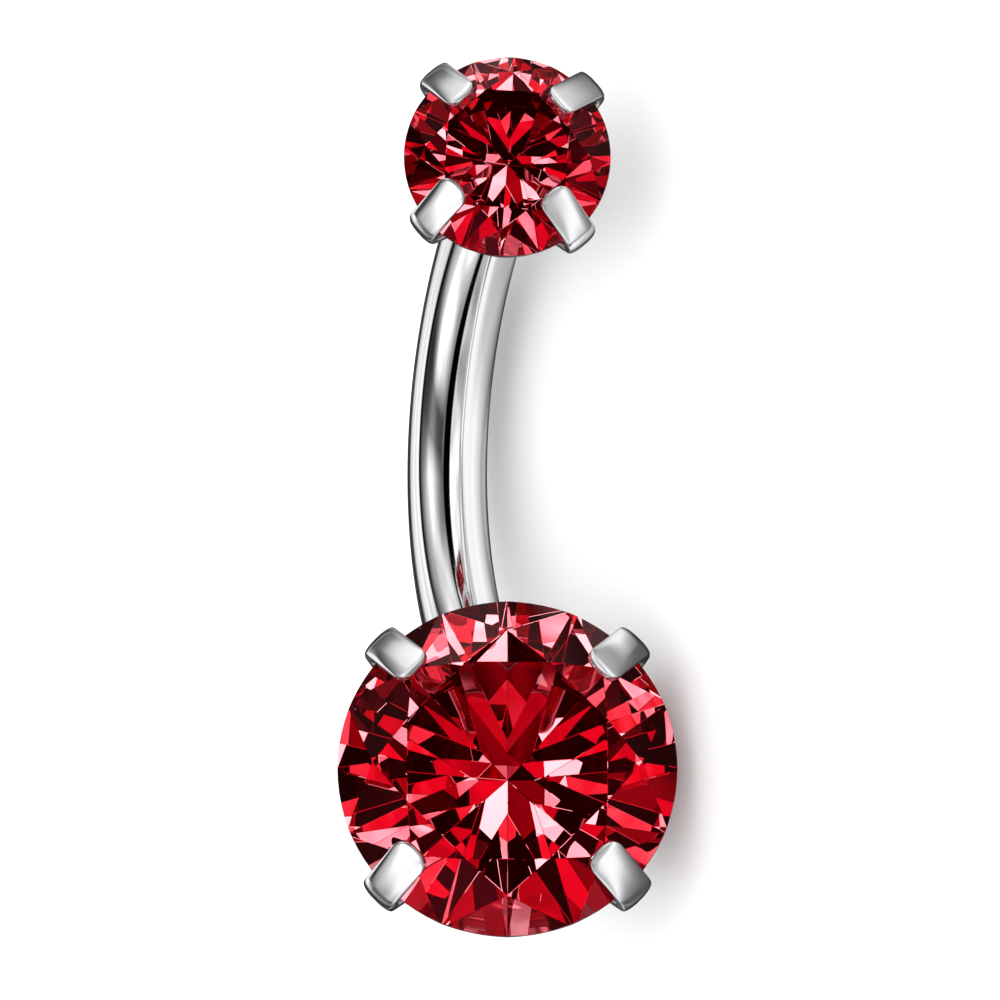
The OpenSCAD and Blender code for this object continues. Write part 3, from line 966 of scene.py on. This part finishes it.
def add_piece(name, points, faces, material, replaced, smooth_angle=None):
    """Adds a piece whose place is in its mesh, parents it to the root body and hides the part it
    replaces.
    """
    mesh = bpy.data.meshes.new(name)
    mesh.from_pydata(np.asarray(points).tolist(), [], faces)
    mesh.validate()
    mesh.materials.append(material)
    if smooth_angle is not None:
        mesh.polygons.foreach_set("use_smooth", np.ones(len(mesh.polygons), bool))
        mesh.set_sharp_from_angle(angle=smooth_angle)
    piece = bpy.data.objects.new(name, mesh)
    bpy.context.scene.collection.objects.link(piece)
    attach(piece, "root")
    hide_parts(replaced)
    return piece


def add_steel(name, points, faces, material, replaced):
    """Adds a piece of steel, smooth but for its edges."""
    add_piece(name, points, faces, material, replaced, SMOOTH_ANGLE)


class NAVELRING_OT_bar(bpy.types.Operator):
    """Adds the bent bar with its post"""

    bl_idname = "navel_ring.bar"
    bl_label = "Bar"

    def execute(self, context):
        s = settings()
        points, faces = bent_bar(s)
        add_steel("bent_bar", lay_down(points, s), faces, mirror_steel(), "barbell")
        return {"FINISHED"}


class NAVELRING_OT_large_head(bpy.types.Operator):
    """Adds the large claw head"""

    bl_idname = "navel_ring.large_head"
    bl_label = "Large head"

    def execute(self, context):
        s = settings()
        points, faces = large_head(s)
        points = lay_head(points, "large", s)
        add_steel("large_claw_head", points, faces, tumbled_steel(), "barbell")
        return {"FINISHED"}


class NAVELRING_OT_small_head(bpy.types.Operator):
    """Adds the small claw head and its boss"""

    bl_idname = "navel_ring.small_head"
    bl_label = "Small head"

    def execute(self, context):
        s = settings()
        points, faces = small_head(s)
        points = lay_head(points, "small", s)
        add_steel("small_claw_head", points, faces, tumbled_steel(), "small_setting")
        points, faces = boss(s)
        add_steel("boss", lay_down(points, s), faces, tumbled_steel(), "small_setting")
        return {"FINISHED"}


class NAVELRING_OT_stones(bpy.types.Operator):
    """Adds the two brilliants"""

    bl_idname = "navel_ring.stones"
    bl_label = "Stones"

    def execute(self, context):
        s = settings()
        for size in ("large", "small"):
            points, faces = brilliant(s[size].stone / 2, s["cut"])
            points, material = lay_head(points, size, s), red_stone(s, size)
            name, replaced = f"{size}_brilliant", f"{size}_stone"
            piece = add_piece(name, points, faces, material, replaced)
            piece.data.materials.append(ground_girdle(s["finish"]))
            walls = np.arange(len(faces)) >= CUT_FACES
            piece.data.polygons.foreach_set("material_index", walls.astype(int))
            polish = piece.modifiers.new("Polished edges", "BEVEL")
            polish.width = FACET_EDGE
            polish.segments = 1
            polish.limit_method = "ANGLE"
            polish.angle_limit = FACET_EDGE_ANGLE
            closed = piece.modifiers.new("Closed corners", "WELD")
            closed.merge_threshold = FACET_WELD
        return {"FINISHED"}


def dome():
    """Light from all round, of its own for the steel, the floor, the stones and the camera.

    Steel sees bright and dark strips that run along X over the piece: the angle of a direction
    about X, from the front at 0 over the top to the back at 180 degrees, picks a grey from a
    table. Far out to either side along X a second table takes over. Two flags darken the strips
    along X, each over a stretch about X of its own, plain grey caps close the dome's two ends,
    and a haze makes it all uneven. The floor is lit evenly. Stones see a patchwork of soft boxes
    and flags: each cell of a random pattern has a level, a cloud is added to it, and the sum
    picks a colour from stops that run from black over red to white. What the camera sees
    directly is plain and pale.
    """
    finish = settings()["finish"]
    world = bpy.data.worlds.new("Dome")
    bpy.context.scene.world = world
    world.use_nodes = True
    tree = world.node_tree
    tree.nodes.clear()
    place = add_node(tree, "ShaderNodeTexCoord", {}).outputs["Generated"]

    def sums(operation, *values):
        """The result of a sum, whose values are given or come from nodes."""
        node = add_node(tree, "ShaderNodeMath", {})
        node.operation = operation
        fill(tree, node, dict(enumerate(values)))
        return node.outputs[0]

    def glow(strength, colour=(1, 1, 1)):
        """A light, whose strength and colour are given or come from nodes."""
        values = {"Color": colour, "Strength": strength}
        return add_node(tree, "ShaderNodeBackground", values).outputs[0]

    split = add_node(tree, "ShaderNodeSeparateXYZ", {"Vector": place})
    turn = sums("ARCTAN2", split.outputs["Z"], sums("MULTIPLY", split.outputs["Y"], -1))
    about_x = sums("DIVIDE", turn, math.pi)
    along_x = sums("MULTIPLY_ADD", split.outputs["X"], 0.5, 0.5)
    strips, sides = (grey_stops(tree, table, about_x) for table in (DOME_ROUND, SIDES_ROUND))
    strips = mixed(tree, grey_stops(tree, SIDES_ALONG, along_x), strips, sides)
    for stretch, greys in ((FLAG_ROUND, FLAG_ALONG), (SHADE_ROUND, SHADE_ALONG)):
        factor = grey_stops(tree, stretch, about_x)
        strips = mixed(tree, factor, strips, grey_stops(tree, greys, along_x), "MULTIPLY")
    strips = mixed(tree, grey_stops(tree, CAPS_ALONG, along_x), strips, CAPS)
    haze = noise(tree, place, HAZE_SCALE, HAZE_DETAIL)
    haze = stretched(tree, haze, SOFT_RANGE, finish.dome * (1 - finish.haze), finish.dome)

    turned_place = add_node(tree, "ShaderNodeMapping", {"Vector": place})
    turned_place.inputs["Rotation"].default_value = finish.patch_turn
    place = turned_place.outputs["Vector"]
    cells = add_node(tree, "ShaderNodeTexVoronoi", {"Vector": place, "Scale": finish.patches})
    level = add_node(tree, "ShaderNodeSeparateColor", {"Color": cells.outputs["Color"]})
    cloud = noise(tree, place, PATCH_CLOUD_SCALE, PATCH_CLOUD_DETAIL, PATCH_CLOUD_ROUGHNESS)
    cloud = sums("MULTIPLY_ADD", cloud, finish.patch_cloud, -0.5 * finish.patch_cloud)
    patches = stops(tree, PATCH_COLOURS, sums("ADD", level.outputs["Red"], cloud))

    seen = shown(tree, "Is Diffuse Ray", glow(finish.floor_light), glow(haze, strips))
    seen = shown(tree, "Is Transmission Ray", glow(finish.patch_light, patches), seen)
    seen = shown(tree, "Is Camera Ray", glow(BACKGROUND), seen)
    add_node(tree, "ShaderNodeOutputWorld", {"Surface": seen})


class NAVELRING_OT_studio(bpy.types.Operator):
    """Adds the floor, the lights and the camera"""

    bl_idname = "navel_ring.studio"
    bl_label = "Studio"

    def execute(self, context):
        s = settings()
        mesh = bpy.data.meshes.new("floor")
        side = FLOOR_SIDE / 2
        corners = [(-side, -side, 0), (side, -side, 0), (side, side, 0), (-side, side, 0)]
        mesh.from_pydata(corners, [], [(0, 1, 2, 3)])
        mesh.materials.append(pale_floor(s["finish"]))
        floor = bpy.data.objects.new("floor", mesh)
        context.scene.collection.objects.link(floor)
        dome()
        place_camera(s)
        context.scene.view_settings.view_transform = "Standard"
        return {"FINISHED"}


def place_camera(s):
    """The photograph's view of the upright piece, turned with the piece as it lies down."""
    lie = s["lie"]
    axes = row_axes(lie)
    toward = np.array([0.0, -math.cos(lie.look_up), -math.sin(lie.look_up)])
    right = np.array([1.0, 0.0, 0.0])
    up = np.cross(toward, right)
    at = large_middle(s) + toward * lie.distance - right * lie.view_side + up * lie.view_rise
    data = bpy.data.cameras.new("camera")
    data.sensor_width = SENSOR_WIDTH
    data.lens = data.sensor_width * lie.distance / lie.view_height
    data.clip_start = CLIP_START
    camera = bpy.data.objects.new("camera", data)
    basis = Matrix([axes @ right, axes @ up, axes @ toward]).transposed()
    camera.matrix_world = Matrix.Translation(lay_down(at[None], s)[0]) @ basis.to_4x4()
    bpy.context.scene.collection.objects.link(camera)
    bpy.context.scene.camera = camera


class NAVELRING_PT_sidebar(bpy.types.Panel):
    """Lists the pieces and their sizes"""

    bl_idname = "NAVELRING_PT_sidebar"
    bl_label = "Navel Ring"
    bl_space_type = "VIEW_3D"
    bl_region_type = "UI"
    bl_category = "Navel Ring"

    def draw(self, context):
        for operator in OPERATORS:
            self.layout.operator(operator.bl_idname)
        for name, group in GROUPS.items():
            box = self.layout.box()
            box.label(text=name.capitalize())
            for prop in group.__annotations__:
                box.prop(getattr(context.scene, f"navel_ring_{name}"), prop)


GROUPS = {
    "bar": NavelRingBar,
    "cut": NavelRingCut,
    "large": NavelRingLargeHead,
    "small": NavelRingSmallHead,
    "lie": NavelRingLie,
    "finish": NavelRingFinish,
}
OPERATORS = (
    NAVELRING_OT_bar,
    NAVELRING_OT_large_head,
    NAVELRING_OT_small_head,
    NAVELRING_OT_stones,
    NAVELRING_OT_studio,
)
CLASSES = (*GROUPS.values(), *OPERATORS, NAVELRING_PT_sidebar)


def register():
    """Registers the classes and puts a group of each kind on the scene."""
    for cls in CLASSES:
        bpy.utils.register_class(cls)
    for name, group in GROUPS.items():
        setattr(bpy.types.Scene, f"navel_ring_{name}", PointerProperty(type=group))


def unregister():
    """Takes the groups off the scene and unregisters the classes."""
    for name in GROUPS:
        delattr(bpy.types.Scene, f"navel_ring_{name}")
    for cls in reversed(CLASSES):
        bpy.utils.unregister_class(cls)


def main():
    """Makes every piece and the studio."""
    register()
    bpy.ops.navel_ring.bar()
    bpy.ops.navel_ring.large_head()
    bpy.ops.navel_ring.small_head()
    bpy.ops.navel_ring.stones()
    bpy.ops.navel_ring.studio()


if __name__ == "__main__":
    main()
